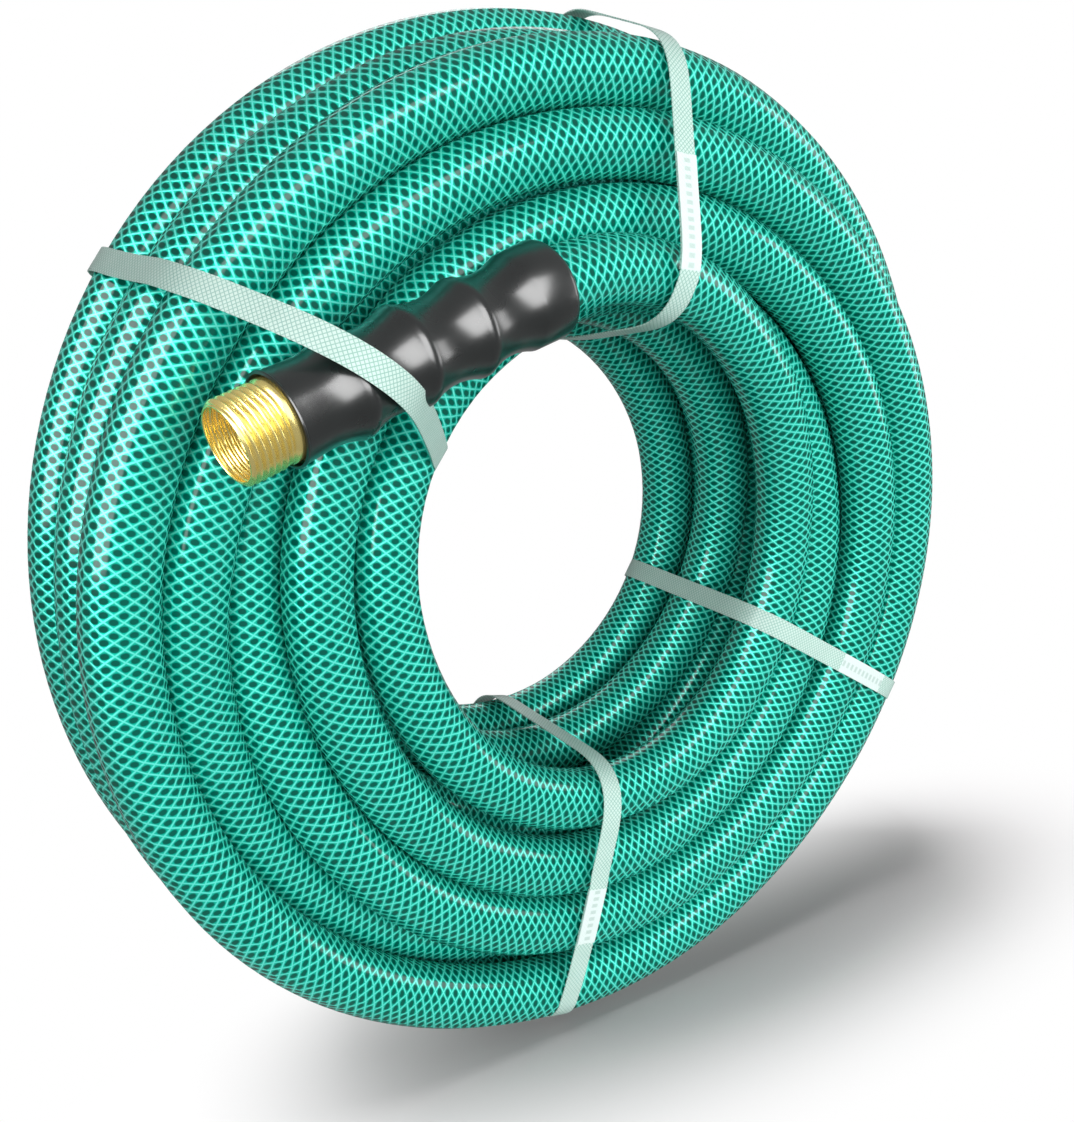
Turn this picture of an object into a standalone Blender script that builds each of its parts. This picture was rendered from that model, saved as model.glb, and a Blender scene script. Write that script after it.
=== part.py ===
"""Garden hose, coiled and strapped, standing on its rim.

The coil's axis runs along Y and the camera side is -Y. The origin is on the floor, under the coil's
centre, in the middle of the widest layer of turns.
"""
import math

import bmesh
import bpy
from mathutils import Matrix, Vector

# Hose
HOSE_OD = 0.0254
HOSE_BORE = 0.01905
GAP = 0.0003

# Coil: layers of turns from front to back
LAYER_PITCH = 0.0259
LAYERS_IN_FRONT = 2
COLUMNS = 4
INNER_TURN_RADIUS = 0.1050
OUTER_TURN_RADII = (0.1870, 0.1955, 0.1990, 0.1935)
COIL_AXIS_HEIGHT = 0.2040
COIL_SEGMENTS = 48
LOBE_STEPS = 3
LOBE_HALF_ANGLE = math.radians(60)

# Ends: the tail of each grip and the way its mouth points
MALE_TAIL_X = -0.0525
MALE_TAIL_OUT = 0.0235
MALE_TAIL_UP = 0.1102
MALE_DIRECTION = (-0.944, -0.144, -0.320)
FEMALE_TAIL_X = -0.1006
FEMALE_TAIL_OUT = 0.0215
FEMALE_TAIL_UP = 0.0427
FEMALE_DIRECTION = (0.400, 0.196, 0.896)
LEAD_ANGLE = math.radians(75)
LEAD_POINTS = 12
LEAD_START = 0.0030
LEAD_STRAIGHT = 0.0120
TRENCH_CLEARANCE = 0.0012
TRENCH_DEPTH = 0.0400

# Grip
GRIP_LENGTH = 0.1060
GRIP_RIDGE_RADIUS = 0.0174
GRIP_WAIST_RADIUS = 0.0148
GRIP_RIM_RADIUS = 0.0155
GRIP_WAIST_SHARPNESS = 1.4
GRIP_RIDGES = 5
GRIP_RIDGE_PITCH = 0.0240
GRIP_EDGE = 0.0012
GRIP_STEPS = 5
GRIP_SEGMENTS = 24
GRIP_CLEARANCE = 0.0010
GRIP_CUT_BEYOND = 0.0040

# Ferrule, crimped over the hose and the stem
FERRULE_LENGTH = 0.0340
FERRULE_WALL = 0.0007
FERRULE_SETBACK = 0.0045

# Couplings: 3/4 in garden hose thread
THREAD_PITCH = 0.0254 / 11.5
THREAD_MAJOR_RADIUS = 0.01345
THREAD_DEPTH = 0.00115
THREAD_LENGTH = 0.0143
THREAD_CLEARANCE = 0.00015
THREAD_RINGS_PER_TURN = 4
THREAD_FADE = THREAD_LENGTH / 8
MALE_NECK_LENGTH = 0.0025
MALE_WALL = 0.0011
STEM_CLEARANCE = 0.00025
STEM_WALL = 0.0011
STEM_LENGTH = 0.0420
STEM_BARBS = 4
BARB_HEIGHT = 0.0006
FLANGE_THICKNESS = 0.0016
ROUND_SEGMENTS = 24

# Swivel nut and washer
NUT_RADIUS = 0.0172
NUT_FLUTES = 8
NUT_FLUTE_DEPTH = 0.0008
NUT_SEGMENTS = 32
NUT_LIP = 0.0022
NUT_CLEARANCE = 0.0004
NUT_STANDOFF = 0.0012
NECK_RADIUS = 0.0102
TAIL_FLANGE_RADIUS = 0.0122
WASHER_THICKNESS = 0.0030
WASHER_HOLE_RADIUS = 0.0078

# Straps
STRAP_WIDTH = 0.0062
STRAP_THICKNESS = 0.0007
STRAP_CLEARANCE = 0.0006
STRAP_FLOOR_CLEARANCE = 0.0005
STRAP_TILT_ALLOWANCE = STRAP_WIDTH / 4
STRAP_HULL_STEP = math.radians(20)
STRAPS = {
    "strap_top_left": math.radians(144),
    "strap_top_right": math.radians(83),
    "strap_lower_right": math.radians(-27),
    "strap_bottom": math.radians(-97.5),
}

SMOOTH_ANGLE = math.radians(35)
HOSE_RADIUS = HOSE_OD / 2
FRONT_Y = -LAYERS_IN_FRONT * LAYER_PITCH
BACK_Y = FRONT_Y + (len(OUTER_TURN_RADII) - 1) * LAYER_PITCH
SLEEVE_RADIUS = HOSE_RADIUS + GAP
FERRULE_RADIUS = SLEEVE_RADIUS + FERRULE_WALL
FERRULE_END = GRIP_LENGTH - FERRULE_SETBACK
FERRULE_START = FERRULE_END - FERRULE_LENGTH
STEM_RADIUS = HOSE_BORE / 2 - STEM_CLEARANCE
STEM_END = FERRULE_END + GAP
THREAD_ROOT_RADIUS = THREAD_MAJOR_RADIUS - THREAD_DEPTH


def material(name, colour, roughness, metallic=0.0):
    made = bpy.data.materials.new(name)
    made.use_nodes = True
    shader = made.node_tree.nodes["Principled BSDF"]
    shader.inputs["Base Color"].default_value = (*colour, 1.0)
    shader.inputs["Roughness"].default_value = roughness
    shader.inputs["Metallic"].default_value = metallic
    return made


def make_object(name, bm, finish, parent=None):
    bmesh.ops.recalc_face_normals(bm, faces=bm.faces)
    mesh = bpy.data.meshes.new(name)
    bm.to_mesh(mesh)
    bm.free()
    mesh.shade_smooth()
    mesh.set_sharp_from_angle(angle=SMOOTH_ANGLE)
    mesh.materials.append(finish)
    made = bpy.data.objects.new(name, mesh)
    made.parent = parent
    bpy.context.scene.collection.objects.link(made)
    return made


def as_guide(cutter):
    cutter.hide_render = True
    cutter.display_type = "WIRE"
    return cutter


def cut(target, cutter):
    modifier = target.modifiers.new("cut_" + cutter.name, "BOOLEAN")
    modifier.operation = "DIFFERENCE"
    modifier.solver = "EXACT"
    modifier.object = as_guide(cutter)


def turned_mesh(outline, segments, axis=(0, 0, 1)):
    """Spin a closed outline of points about an axis through the origin."""
    bm = bmesh.new()
    verts = [bm.verts.new(point) for point in outline]
    edges = [bm.edges.new((a, b)) for a, b in zip(verts, verts[1:] + verts[:1])]
    bmesh.ops.spin(
        bm, geom=verts + edges, cent=(0, 0, 0), axis=axis, dvec=(0, 0, 0),
        angle=math.tau, steps=segments, use_merge=True, use_duplicate=False,
    )
    return bm


def sleeve_mesh(outline, segments):
    """Spin (radius, height) points about Z."""
    return turned_mesh([(radius, 0.0, height) for radius, height in outline], segments)


def arc(centre_u, centre_v, radius, start, end, steps):
    points = []
    for step in range(steps + 1):
        angle = start + (end - start) * step / steps
        points.append((centre_u + radius * math.cos(angle), centre_v + radius * math.sin(angle)))
    return points


def turn_centres():
    """Cross-section centres of the turns round the coil's outside, as (radius, y, outward angle)."""
    last = len(OUTER_TURN_RADII) - 1

    def column_radius(layer, column):
        inner = INNER_TURN_RADIUS
        return inner + (OUTER_TURN_RADII[layer] - inner) * column / (COLUMNS - 1)

    def layer_y(layer):
        return FRONT_Y + layer * LAYER_PITCH

    front = [(column_radius(0, column), layer_y(0), -90) for column in range(COLUMNS)]
    rim = [(column_radius(layer, COLUMNS - 1), layer_y(layer), 0) for layer in range(last + 1)]
    back = [(column_radius(last, column), layer_y(last), 90) for column in reversed(range(COLUMNS))]
    inside = [(INNER_TURN_RADIUS, layer_y(layer), 180) for layer in reversed(range(last + 1))]
    return front, rim, back, inside


def coil_outline():
    """The scalloped outline of the coil's cross-section, as (radius, y) points."""
    outline = []
    for side in turn_centres():
        facing = math.radians(side[0][2])
        for radius, y, _ in side[1:-1]:
            start = facing - LOBE_HALF_ANGLE
            outline += arc(radius, y, HOSE_RADIUS, start, facing + LOBE_HALF_ANGLE, LOBE_STEPS)
        radius, y, _ = side[-1]
        start = facing - LOBE_HALF_ANGLE
        end = facing + math.radians(90) + LOBE_HALF_ANGLE
        outline += arc(radius, y, HOSE_RADIUS, start, end, 2 * LOBE_STEPS - 1)
    return outline


def coil_point(radius, y, angle):
    return Vector((radius * math.cos(angle), y, COIL_AXIS_HEIGHT + radius * math.sin(angle)))


def end_empty(name, x, out_y, up, direction):
    """An empty at a grip's tail, with +Z towards the mouth."""
    empty = bpy.data.objects.new(name, None)
    bpy.context.scene.collection.objects.link(empty)
    empty.location = (x, out_y, COIL_AXIS_HEIGHT + up)
    empty.rotation_mode = "QUATERNION"
    empty.rotation_quaternion = Vector(direction).to_track_quat("Z", "Y")
    return empty


def lead_route(end, direction, layer_y, turn):
    """Points that leave the coil's innermost turn and run straight into a grip's tail."""
    forward = Vector(direction).normalized()
    reach = end.location - forward * LEAD_STRAIGHT
    reach_angle = math.atan2(reach.z - COIL_AXIS_HEIGHT, reach.x)
    reach_radius = math.hypot(reach.z - COIL_AXIS_HEIGHT, reach.x)
    points = []
    for step in range(LEAD_POINTS):
        share = step / (LEAD_POINTS - 1)
        angle = reach_angle - turn * LEAD_ANGLE * (1 - share)
        radius = INNER_TURN_RADIUS + (reach_radius - INNER_TURN_RADIUS) * share**2
        points.append(coil_point(radius, layer_y + (reach.y - layer_y) * share**2, angle))
        if step == 0:
            tangent = Vector((-math.sin(angle), 0, math.cos(angle)))
            points.append(points[0] + tangent * turn * LEAD_START)
    points.append(end.location - forward * GAP)
    return points


def tube(name, points, radius, finish):
    """A round tube with flat ends along a list of points."""
    curve = bpy.data.curves.new(name, "CURVE")
    curve.dimensions = "3D"
    curve.bevel_depth = radius
    curve.bevel_resolution = 2
    curve.use_fill_caps = True
    spline = curve.splines.new("POLY")
    spline.points.add(len(points) - 1)
    for spot, point in zip(spline.points, points):
        spot.co = (*point, 1.0)
    curve.materials.append(finish)
    made = bpy.data.objects.new(name, curve)
    bpy.context.scene.collection.objects.link(made)
    return made


def trench_cutter(name, points, outward):
    """A square trench for a lead, open to the coil's hole and to one of its faces."""
    near = HOSE_RADIUS + TRENCH_CLEARANCE
    bm = bmesh.new()
    rings = []
    for point in points:
        angle = math.atan2(point.z - COIL_AXIS_HEIGHT, point.x)
        reach = math.hypot(point.z - COIL_AXIS_HEIGHT, point.x) + near
        floor = point.y - outward * near
        top = point.y + outward * TRENCH_DEPTH
        hole = INNER_TURN_RADIUS - HOSE_OD
        corners = ((hole, floor), (reach, floor), (reach, top), (hole, top))
        rings.append([bm.verts.new(coil_point(radius, y, angle)) for radius, y in corners])
    for here, there in zip(rings, rings[1:]):
        for corner in range(4):
            after = (corner + 1) % 4
            bm.faces.new((here[corner], here[after], there[after], there[corner]))
    bm.faces.new(rings[0])
    bm.faces.new(rings[-1])
    return make_object(name, bm, FINISHES["vinyl"])


def box(name, size, location):
    bm = bmesh.new()
    bmesh.ops.create_cube(bm, size=1.0)
    bmesh.ops.scale(bm, vec=size, verts=bm.verts)
    made = make_object(name, bm, FINISHES["vinyl"])
    made.location = location
    return made


def make_coil(leads, ends):
    """The coil: its turned outside, flat on the floor, cut clear of the leads, the ends and a strap."""
    outline = [(radius, y, 0.0) for radius, y in coil_outline()]
    coil = make_object("hose_coil", turned_mesh(outline, COIL_SEGMENTS, (0, 1, 0)), FINISHES["vinyl"])
    coil.location.z = COIL_AXIS_HEIGHT
    reach = 2 * max(OUTER_TURN_RADII) + HOSE_OD
    cut(coil, box("floor_cutter", (reach, reach, reach), (0, 0, -reach / 2)))
    for name, points in leads.items():
        start = points[0] + (points[0] - points[1]).normalized() * GAP
        outward = math.copysign(1, points[-1].y)
        cut(coil, trench_cutter(name + "_cutter", [start] + points[1:], outward))
    for name, end in ends.items():
        bm = bmesh.new()
        bmesh.ops.create_cone(
            bm, cap_ends=True, segments=GRIP_SEGMENTS, depth=GRIP_LENGTH + 2 * GRIP_CUT_BEYOND,
            radius1=GRIP_RIDGE_RADIUS + GRIP_CLEARANCE, radius2=GRIP_RIDGE_RADIUS + GRIP_CLEARANCE,
        )
        cutter = make_object(name + "_cutter", bm, FINISHES["vinyl"], end)
        cutter.location.z = GRIP_LENGTH / 2
        cut(coil, cutter)
    angle = STRAPS["strap_bottom"]
    depth = STRAP_FLOOR_CLEARANCE + STRAP_THICKNESS + STRAP_WIDTH * abs(math.cos(angle)) + GAP
    size = (STRAP_WIDTH + 4 * STRAP_CLEARANCE, 2 * (BACK_Y - FRONT_Y + HOSE_OD), 2 * depth)
    cut(coil, box("strap_cutter", size, (COIL_AXIS_HEIGHT / math.tan(-angle), 0, 0)))
    return coil


def make_hose_end(name, end):
    inner, outer = HOSE_BORE / 2, HOSE_RADIUS
    outline = [(inner, 0), (outer, 0), (outer, FERRULE_END), (inner, FERRULE_END)]
    return make_object(name, sleeve_mesh(outline, ROUND_SEGMENTS), FINISHES["vinyl"], end)


def make_ferrule(name, end):
    inner, outer = SLEEVE_RADIUS, FERRULE_RADIUS
    outline = [(inner, FERRULE_START), (outer, FERRULE_START), (outer, FERRULE_END), (inner, FERRULE_END)]
    return make_object(name, sleeve_mesh(outline, ROUND_SEGMENTS), FINISHES["brass"], end)


def grip_outside():
    """(radius, height) points of the grip's scalloped outside, tail to rim."""
    points = [(GRIP_RIDGE_RADIUS - GRIP_EDGE, 0.0), (GRIP_RIDGE_RADIUS, GRIP_EDGE)]
    first = GRIP_LENGTH - (GRIP_RIDGES - 1) * GRIP_RIDGE_PITCH
    for ridge in range(GRIP_RIDGES - 1):
        start = first + ridge * GRIP_RIDGE_PITCH
        last = ridge == GRIP_RIDGES - 2
        for step in range(GRIP_STEPS + (1 if last else 0)):
            share = step / GRIP_STEPS
            top = GRIP_RIDGE_RADIUS
            if last:
                top += (GRIP_RIM_RADIUS - GRIP_RIDGE_RADIUS) * share
            waist = max(0.0, math.sin(math.pi * share)) ** GRIP_WAIST_SHARPNESS
            radius = top + (GRIP_WAIST_RADIUS - top) * waist
            points.append((radius, start + share * GRIP_RIDGE_PITCH))
    return points


def make_grip(name, end):
    inside = [
        (FERRULE_RADIUS + GAP, GRIP_LENGTH),
        (FERRULE_RADIUS + GAP, FERRULE_START - GAP),
        (SLEEVE_RADIUS, FERRULE_START - GAP),
        (SLEEVE_RADIUS, 0.0),
    ]
    return make_object(name, sleeve_mesh(grip_outside() + inside, GRIP_SEGMENTS), FINISHES["rubber"], end)


def thread_heights(start):
    """Heights of the rings that a thread is cut on."""
    rings = round(THREAD_LENGTH / THREAD_PITCH * THREAD_RINGS_PER_TURN)
    return [start + THREAD_LENGTH * ring / rings for ring in range(rings + 1)]


def cut_thread(bm, start, inside):
    """Move the rings of a plain sleeve in or out along a helix, fading at both ends."""
    for vert in bm.verts:
        radius = math.hypot(vert.co.x, vert.co.y)
        plain = THREAD_MAJOR_RADIUS + THREAD_CLEARANCE if inside else THREAD_ROOT_RADIUS
        to_end = min(vert.co.z - start, start + THREAD_LENGTH - vert.co.z)
        if abs(radius - plain) > GAP or to_end < 0:
            continue
        turns = vert.co.z / THREAD_PITCH - math.atan2(vert.co.y, vert.co.x) / math.tau
        crest = 1 - abs(2 * (turns % 1) - 1)
        change = THREAD_DEPTH * crest * min(1.0, to_end / THREAD_FADE)
        scale = (radius - change if inside else radius + change) / radius
        vert.co.x *= scale
        vert.co.y *= scale


def stem_outside():
    """(radius, height) points of the barbed stem, from its free end up."""
    points = []
    start = STEM_END - STEM_LENGTH
    pitch = STEM_LENGTH / (STEM_BARBS + 1)
    for barb in range(STEM_BARBS):
        points.append((STEM_RADIUS - BARB_HEIGHT, start + barb * pitch))
        points.append((STEM_RADIUS, start + (barb + 1) * pitch - GAP))
    points.append((STEM_RADIUS - BARB_HEIGHT, start + STEM_BARBS * pitch))
    points.append((STEM_RADIUS - BARB_HEIGHT, STEM_END))
    return points


def make_male_coupling(end):
    bore = STEM_RADIUS - BARB_HEIGHT - STEM_WALL
    thread_start = GRIP_LENGTH + MALE_NECK_LENGTH
    mouth = thread_start + THREAD_LENGTH
    outside = stem_outside()
    outside += [(FERRULE_RADIUS, STEM_END), (FERRULE_RADIUS, STEM_END + FLANGE_THICKNESS)]
    outside += [(THREAD_MAJOR_RADIUS, STEM_END + FLANGE_THICKNESS)]
    outside += [(THREAD_MAJOR_RADIUS, thread_start - THREAD_PITCH / 2)]
    outside += [(THREAD_ROOT_RADIUS, height) for height in thread_heights(thread_start)]
    cup = THREAD_ROOT_RADIUS - MALE_WALL
    inside = [(cup, mouth), (cup, STEM_END + FLANGE_THICKNESS), (bore, STEM_END)]
    inside += [(bore, STEM_END - STEM_LENGTH)]
    bm = sleeve_mesh(outside + inside, ROUND_SEGMENTS)
    cut_thread(bm, thread_start, inside=False)
    return make_object("male_coupling", bm, FINISHES["brass"], end)


def make_female_tailpiece(end):
    bore = STEM_RADIUS - BARB_HEIGHT - STEM_WALL
    flange = GRIP_LENGTH + NUT_STANDOFF + NUT_LIP + NUT_CLEARANCE
    outside = stem_outside()
    outside += [(FERRULE_RADIUS, STEM_END), (FERRULE_RADIUS, STEM_END + FLANGE_THICKNESS)]
    outside += [(NECK_RADIUS, STEM_END + FLANGE_THICKNESS), (NECK_RADIUS, flange)]
    outside += [(TAIL_FLANGE_RADIUS, flange), (TAIL_FLANGE_RADIUS, flange + FLANGE_THICKNESS)]
    inside = [(bore, flange + FLANGE_THICKNESS), (bore, STEM_END - STEM_LENGTH)]
    bm = sleeve_mesh(outside + inside, ROUND_SEGMENTS)
    return make_object("female_tailpiece", bm, FINISHES["brass"], end)


def make_nut_and_washer(end):
    """The swivel nut, with its origin on the axis that it turns about, and the washer in it."""
    base = GRIP_LENGTH + NUT_STANDOFF
    flange_top = NUT_LIP + NUT_CLEARANCE + FLANGE_THICKNESS
    thread_start = flange_top + GAP + WASHER_THICKNESS
    mouth = thread_start + THREAD_LENGTH
    cavity = THREAD_MAJOR_RADIUS + THREAD_CLEARANCE
    inside = [(cavity, height) for height in reversed(thread_heights(thread_start))]
    inside += [(cavity, NUT_LIP), (NECK_RADIUS + NUT_CLEARANCE, NUT_LIP), (NECK_RADIUS + NUT_CLEARANCE, 0)]
    outside = [(NUT_RADIUS - GRIP_EDGE, 0), (NUT_RADIUS, GRIP_EDGE)]
    outside += [(NUT_RADIUS, mouth - GRIP_EDGE), (NUT_RADIUS - GRIP_EDGE, mouth)]
    bm = sleeve_mesh(outside + inside, NUT_SEGMENTS)
    for vert in bm.verts:
        radius = math.hypot(vert.co.x, vert.co.y)
        if radius > NUT_RADIUS - GRIP_EDGE / 2:
            angle = math.atan2(vert.co.y, vert.co.x)
            flute = NUT_FLUTE_DEPTH * (1 - math.cos(NUT_FLUTES * angle)) / 2
            vert.co.x *= (radius - flute) / radius
            vert.co.y *= (radius - flute) / radius
    cut_thread(bm, thread_start, inside=True)
    nut = make_object("female_nut", bm, FINISHES["brass"], end)
    nut.location.z = base
    low = flange_top + GAP
    high = low + WASHER_THICKNESS - GAP
    outer = TAIL_FLANGE_RADIUS
    outline = [(WASHER_HOLE_RADIUS, low), (outer, low), (outer, high), (WASHER_HOLE_RADIUS, high)]
    washer = make_object("female_washer", sleeve_mesh(outline, ROUND_SEGMENTS), FINISHES["washer"], end)
    washer.location.z = base
    return nut, washer


def convex_hull(points):
    """Counter-clockwise hull of 2-D points."""
    ordered = sorted(set(points))

    def half(source):
        chain = []
        for point in source:
            while len(chain) > 1:
                (ax, ay), (bx, by) = chain[-2], chain[-1]
                if (bx - ax) * (point[1] - ay) - (by - ay) * (point[0] - ax) > 0:
                    break
                chain.pop()
            chain.append(point)
        return chain[:-1]

    return half(ordered) + half(reversed(ordered))


def end_section(end, angle, radius):
    """Where the radial plane at an angle cuts a cylinder round a grip, as (radius, y) points."""
    bpy.context.view_layer.update()
    place = end.matrix_world
    axis = (place.to_3x3() @ Vector((0, 0, 1))).normalized()
    tangent = Vector((-math.sin(angle), 0, math.cos(angle)))
    outward = Vector((math.cos(angle), 0, math.sin(angle)))
    centre = Vector((0, 0, COIL_AXIS_HEIGHT))
    points = []
    turn = 0.0
    while turn < math.tau:
        spoke = place @ Vector((radius * math.cos(turn), radius * math.sin(turn), 0))
        slide = -(spoke - centre).dot(tangent) / axis.dot(tangent)
        spot = spoke + axis * slide - centre
        if 0 < slide < GRIP_LENGTH and spot.dot(outward) > 0:
            points.append((spot.dot(outward), spot.y))
        turn += STRAP_HULL_STEP
    return points


def lead_section(points, angle):
    """Where a lead crosses the radial plane at an angle, as (radius, y) points round it."""
    tangent = Vector((-math.sin(angle), 0, math.cos(angle)))
    outward = Vector((math.cos(angle), 0, math.sin(angle)))
    centre = Vector((0, 0, COIL_AXIS_HEIGHT))
    for a, b in zip(points, points[1:]):
        before, after = (a - centre).dot(tangent), (b - centre).dot(tangent)
        if before * after <= 0 and (a - centre).dot(outward) > 0:
            spot = a.lerp(b, before / (before - after)) - centre
            reach = HOSE_RADIUS + STRAP_CLEARANCE + STRAP_TILT_ALLOWANCE
            return arc(spot.dot(outward), spot.y, reach, 0, math.tau, round(math.tau / STRAP_HULL_STEP))
    return []


def strap_points(angle, ends, leads):
    """The loop that a strap follows, pulled tight round everything at its angle."""
    reach = HOSE_RADIUS + STRAP_CLEARANCE
    points = []
    for side in turn_centres():
        for radius, y, facing in side:
            start = math.radians(facing - 90)
            points += arc(radius, y, reach, start, start + math.pi, round(math.pi / STRAP_HULL_STEP))
    for end in ends:
        wide = GRIP_RIDGE_RADIUS + STRAP_CLEARANCE + STRAP_TILT_ALLOWANCE
        points += end_section(end, angle, wide)
    for route in leads:
        points += lead_section(route, angle)
    if math.sin(angle) < 0:
        tilt = STRAP_WIDTH / 2 * abs(math.cos(angle))
        floor = COIL_AXIS_HEIGHT - STRAP_FLOOR_CLEARANCE - STRAP_THICKNESS - tilt
        limit = floor / abs(math.sin(angle))
        points = [(min(radius, limit), y) for radius, y in points]
    return convex_hull([(round(radius, 6), round(y, 6)) for radius, y in points])


def offset_loop(loop, distance):
    """Move a convex loop outwards, corner by corner."""
    moved = []
    for before, here, after in zip(loop[-1:] + loop[:-1], loop, loop[1:] + loop[:1]):
        normals = []
        for a, b in ((before, here), (here, after)):
            along = Vector((b[0] - a[0], b[1] - a[1])).normalized()
            normals.append(Vector((along.y, -along.x)))
        mitre = (normals[0] + normals[1]).normalized()
        reach = distance / max(0.5, mitre.dot(normals[0]))
        moved.append((here[0] + mitre.x * reach, here[1] + mitre.y * reach))
    return moved


def make_strap(name, angle, ends, leads):
    """A closed band round the coil's section."""
    loop = strap_points(angle, ends, leads)
    outer = offset_loop(loop, STRAP_THICKNESS)
    tangent = Vector((-math.sin(angle), 0, math.cos(angle)))
    bm = bmesh.new()
    rings = []
    for a, b in zip(loop, outer):
        ring = []
        for radius, y, side in ((*a, -1), (*b, -1), (*b, 1), (*a, 1)):
            spot = coil_point(radius, y, angle) + tangent * side * STRAP_WIDTH / 2
            ring.append(bm.verts.new(spot))
        rings.append(ring)
    for here, there in zip(rings, rings[1:] + rings[:1]):
        for corner in range(4):
            after = (corner + 1) % 4
            bm.faces.new((here[corner], here[after], there[after], there[corner]))
    return make_object(name, bm, FINISHES["strap"])


for old in list(bpy.data.objects):
    bpy.data.objects.remove(old, do_unlink=True)

FINISHES = {
    "vinyl": material("green_vinyl", (0.02, 0.42, 0.28), 0.25),
    "rubber": material("black_rubber", (0.03, 0.03, 0.03), 0.45),
    "brass": material("brass", (0.85, 0.62, 0.22), 0.25, 1.0),
    "washer": material("washer_rubber", (0.06, 0.06, 0.06), 0.7),
    "strap": material("strap_plastic", (0.75, 0.85, 0.80), 0.4),
}

male_end = end_empty("male_end", MALE_TAIL_X, FRONT_Y - MALE_TAIL_OUT, MALE_TAIL_UP, MALE_DIRECTION)
female_end = end_empty(
    "female_end", FEMALE_TAIL_X, BACK_Y + FEMALE_TAIL_OUT, FEMALE_TAIL_UP, FEMALE_DIRECTION
)
leads = {
    "hose_male_lead": lead_route(male_end, MALE_DIRECTION, FRONT_Y, 1),
    "hose_female_lead": lead_route(female_end, FEMALE_DIRECTION, BACK_Y, -1),
}
for lead_name, lead_points in leads.items():
    tube(lead_name, lead_points, HOSE_RADIUS, FINISHES["vinyl"])
make_coil(leads, {"male": male_end, "female": female_end})
for prefix, empty in (("male", male_end), ("female", female_end)):
    make_hose_end(f"hose_{prefix}_end", empty)
    make_ferrule(prefix + "_ferrule", empty)
    make_grip(prefix + "_grip", empty)
make_male_coupling(male_end)
make_female_tailpiece(female_end)
make_nut_and_washer(female_end)
for strap_name, strap_angle in STRAPS.items():
    make_strap(strap_name, strap_angle, (male_end, female_end), leads.values())
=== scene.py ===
import math

import bmesh
import bpy
import numpy as np
from mathutils import Matrix, Vector


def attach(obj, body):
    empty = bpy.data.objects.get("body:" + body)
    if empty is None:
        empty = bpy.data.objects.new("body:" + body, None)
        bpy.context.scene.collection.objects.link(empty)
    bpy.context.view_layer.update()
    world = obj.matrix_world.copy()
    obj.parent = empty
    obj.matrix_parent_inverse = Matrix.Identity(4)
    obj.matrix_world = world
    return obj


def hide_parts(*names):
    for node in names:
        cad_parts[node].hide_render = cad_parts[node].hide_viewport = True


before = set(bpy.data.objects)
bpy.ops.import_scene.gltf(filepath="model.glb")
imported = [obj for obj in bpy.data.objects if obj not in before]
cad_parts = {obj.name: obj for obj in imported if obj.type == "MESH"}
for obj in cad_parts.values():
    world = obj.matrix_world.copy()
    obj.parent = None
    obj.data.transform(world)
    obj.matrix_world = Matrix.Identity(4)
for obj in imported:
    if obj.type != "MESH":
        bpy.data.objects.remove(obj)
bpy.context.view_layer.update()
stageScene = bpy.context.scene
print("frame loaded")

cameraView = {
    "place": Vector((-0.2633, -0.4032, 0.3313)),
    "heading": math.radians(32.74),  # from +Y towards +X
    "fall": math.radians(15.95),
    "roll": math.radians(0.28),
    "lens": 36.12,
    "film": 36.0,
}


def addCamera():
    heading, fall = cameraView["heading"], cameraView["fall"]
    forward = Vector((
        math.sin(heading) * math.cos(fall), math.cos(heading) * math.cos(fall), -math.sin(fall)
    ))
    side = Vector((math.cos(heading), -math.sin(heading), 0.0))
    up = side.cross(forward)
    cosRoll, sinRoll = math.cos(cameraView["roll"]), math.sin(cameraView["roll"])
    side, up = side * cosRoll + up * sinRoll, up * cosRoll - side * sinRoll
    lensData = bpy.data.cameras.new("photoCamera")
    lensData.sensor_width = cameraView["film"]
    lensData.lens = cameraView["lens"]
    lensData.clip_start = 0.01
    lensData.clip_end = 50.0
    made = bpy.data.objects.new("photoCamera", lensData)
    turned = Matrix((side, up, -forward)).transposed().to_4x4()
    made.matrix_world = Matrix.Translation(cameraView["place"]) @ turned
    stageScene.collection.objects.link(made)
    stageScene.camera = made


addCamera()


def placeMesh(name, mesh, finish, smooth=math.radians(40)):
    if smooth:
        mesh.shade_smooth()
        mesh.set_sharp_from_angle(angle=smooth)
    mesh.materials.clear()
    mesh.materials.append(finish)
    made = bpy.data.objects.new(name, mesh)
    stageScene.collection.objects.link(made)
    return made


def meshFrom(bm, name):
    bmesh.ops.recalc_face_normals(bm, faces=bm.faces)
    mesh = bpy.data.meshes.new(name)
    bm.to_mesh(mesh)
    bm.free()
    return mesh


mergeDistance = 0.000002  # metres; closer points of a spun shape become one


def spunShape(outline, steps):
    # outline is a closed loop of (radius, height) points
    bm = bmesh.new()
    corners = [bm.verts.new((radius, 0.0, height)) for radius, height in outline]
    rim = [bm.edges.new(pair) for pair in zip(corners, corners[1:] + corners[:1])]
    bmesh.ops.spin(
        bm, geom=corners + rim, cent=(0, 0, 0), axis=(0, 0, 1), dvec=(0, 0, 0),
        angle=math.tau, steps=steps, use_merge=True, use_duplicate=False,
    )
    bmesh.ops.remove_doubles(bm, verts=bm.verts, dist=mergeDistance)
    return bm


def smoothStep(value):
    value = min(1.0, max(0.0, value))
    return value * value * (3 - 2 * value)


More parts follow.
